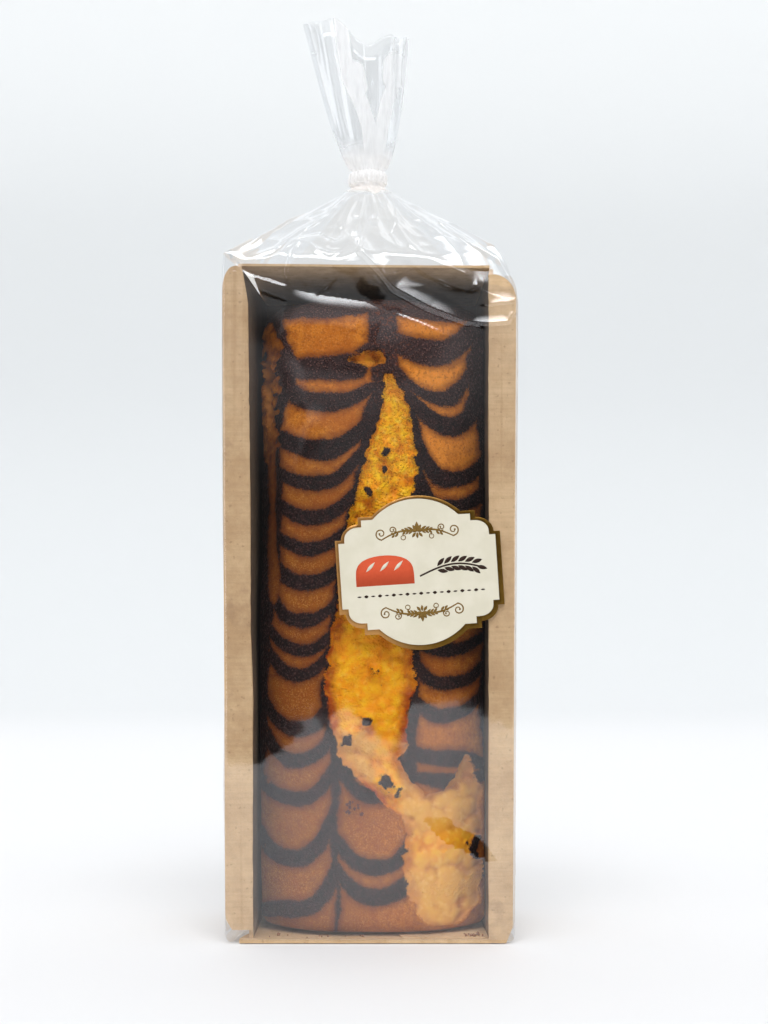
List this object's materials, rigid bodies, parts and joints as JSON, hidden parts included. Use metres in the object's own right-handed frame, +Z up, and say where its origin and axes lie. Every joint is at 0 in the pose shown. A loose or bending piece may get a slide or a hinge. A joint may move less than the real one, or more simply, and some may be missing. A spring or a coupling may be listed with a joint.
{
  "type": "packed marble loaf cake",
  "caption": "Marbled loaf cake in a kraft board tray, sealed in a clear film bag gathered and banded at the top, with a shaped paper label.",
  "frame": {"origin": "on the floor, in the middle of the pack's box", "axes": "+Z up from the foot to the gathered top, -Y towards the open front of the tray, +X to the right seen from the front"},
  "size_m": [0.104, 0.0662, 0.3365],
  "materials": {
    "clear_film": "clear gloss packing film over a kraft tray and a browned marble cake",
    "clear_band": "whitish clear tape, satin",
    "label_paper": "cream paper with a metallic gold border"
  },
  "bodies": {
    "root": {"film_bag": "clear_film", "neck_band": "clear_band", "front_label": "label_paper"}
  },
  "joints": []
}
